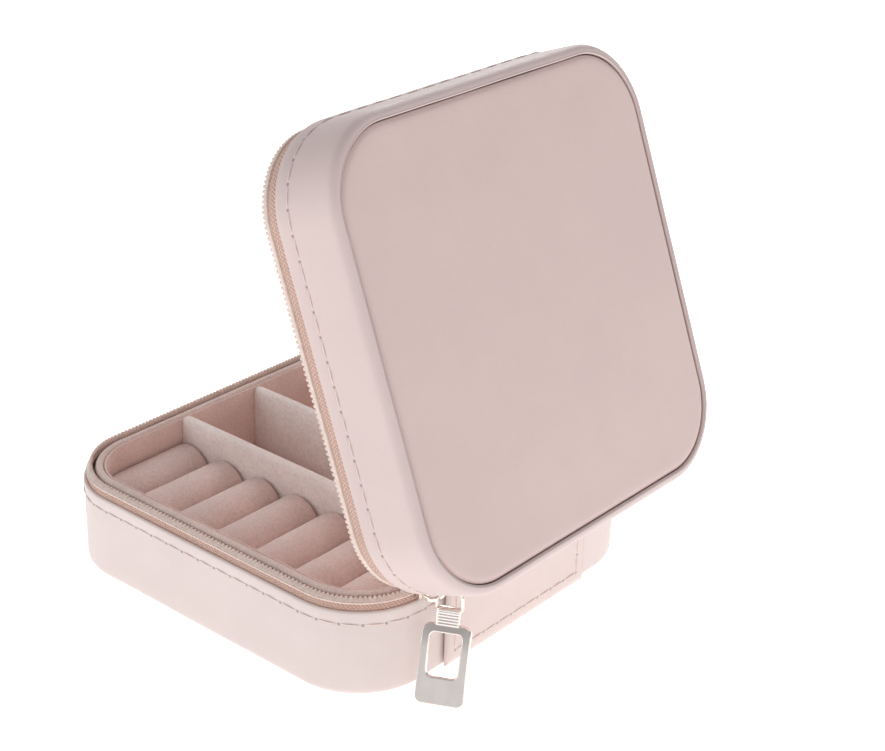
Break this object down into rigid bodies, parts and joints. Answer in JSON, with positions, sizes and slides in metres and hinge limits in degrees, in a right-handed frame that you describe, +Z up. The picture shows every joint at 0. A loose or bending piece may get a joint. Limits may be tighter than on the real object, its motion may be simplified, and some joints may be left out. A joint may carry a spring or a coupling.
{
  "type": "jewelry box",
  "caption": "Small square zip-round travel jewelry box in smooth leather, lid standing open on a leather hinge strip, velvet tray with ring rolls, dividers and a hanging zip pull.",
  "frame": {"origin": "middle of the base's underside, on the surface the box stands on", "axes": "+Z up, the hinge at +Y, the lid opens from -Y, the ring rolls on the +X side"},
  "size_m": [0.1, 0.1208, 0.1252],
  "materials": {
    "leather": "smooth fine-grained artificial leather, blush pink, satin",
    "velvet": "short-pile velvet, dusty pink",
    "board": "plain greyboard",
    "foam": "soft foam",
    "zip_tape": "woven herringbone zip tape, peach pink",
    "zip_nylon": "nylon coil teeth",
    "metal": "polished nickel plate",
    "elastic": "ribbed elastic"
  },
  "bodies": {
    "base": {"base_bottom_board": "board", "base_bottom_cover": "leather", "base_side_cover": "leather", "base_wall_board": "board", "base_zip_tape": "zip_tape", "base_zip_teeth": "zip_nylon", "hinge_panel_lower": "leather", "ring_roll_1": "velvet", "ring_roll_2": "velvet", "ring_roll_3": "velvet", "ring_roll_4": "velvet", "ring_roll_5": "velvet", "ring_roll_6": "velvet", "ring_roll_7": "velvet", "ring_roll_8": "velvet", "ring_section_wall": "velvet", "tray_floor": "velvet", "tray_wall": "velvet", "zip_stop_1": "metal", "zip_stop_2": "metal"},
    "lid": {"hinge_panel_upper": "leather", "lid_face_pad": "foam", "lid_face_panel": "leather", "lid_lining_panel": "velvet", "lid_lining_wall": "velvet", "lid_pocket": "velvet", "lid_side_cover": "leather", "lid_top_board": "board", "lid_wall_board": "board", "lid_zip_tape": "zip_tape", "lid_zip_teeth": "zip_nylon", "pocket_band": "elastic", "snap_stud_1": "metal", "snap_stud_2": "metal", "snap_stud_3": "metal", "strap_anchor_1": "leather", "strap_anchor_2": "leather", "strap_anchor_3": "leather"},
    "strap_1": {"necklace_strap_1": "leather", "snap_cap_1": "metal"},
    "strap_2": {"necklace_strap_2": "leather", "snap_cap_2": "metal"},
    "strap_3": {"necklace_strap_3": "leather", "snap_cap_3": "metal"},
    "divider": {"lift_out_divider": "velvet"},
    "slider": {"slider_body": "metal", "slider_bridge": "metal"},
    "ring": {"pull_ring": "metal"},
    "pull": {"pull_link": "metal", "pull_tab": "metal"}
  },
  "joints": [
    {"name": "lid_hinge", "type": "hinge", "parent": "base", "child": "lid", "pos_m": [0, 0.05, 0.0242], "axis": [-1, 0, 0], "range_deg": [-69, 12]},
    {"name": "strap_1_fold", "type": "hinge", "parent": "lid", "child": "strap_1", "pos_m": [-0.024, 0.03271, 0.11306], "axis": [-1, 0, 0], "range_deg": [0, 92]},
    {"name": "strap_2_fold", "type": "hinge", "parent": "lid", "child": "strap_2", "pos_m": [0, 0.03271, 0.11306], "axis": [-1, 0, 0], "range_deg": [0, 92]},
    {"name": "strap_3_fold", "type": "hinge", "parent": "lid", "child": "strap_3", "pos_m": [0.024, 0.03271, 0.11306], "axis": [-1, 0, 0], "range_deg": [0, 92]},
    {"name": "divider_lift", "type": "slide", "parent": "base", "child": "divider", "axis": [0, 0, 1], "range_m": [0, 0.045]},
    {"name": "zip_travel", "type": "hinge", "parent": "base", "child": "slider", "pos_m": [0.0316, 0.0316, 0.0242], "axis": [0, 0, -1], "range_deg": [0, 90]},
    {"name": "ring_swing", "type": "hinge", "parent": "slider", "child": "ring", "pos_m": [0.0316, 0.05375, 0.02265], "axis": [1, 0, 0], "range_deg": [-5, 25]},
    {"name": "pull_swing", "type": "hinge", "parent": "ring", "child": "pull", "pos_m": [0.0294, 0.0554, 0.01935], "axis": [-0.454, 0.891, 0], "range_deg": [-70, 15]}
  ]
}
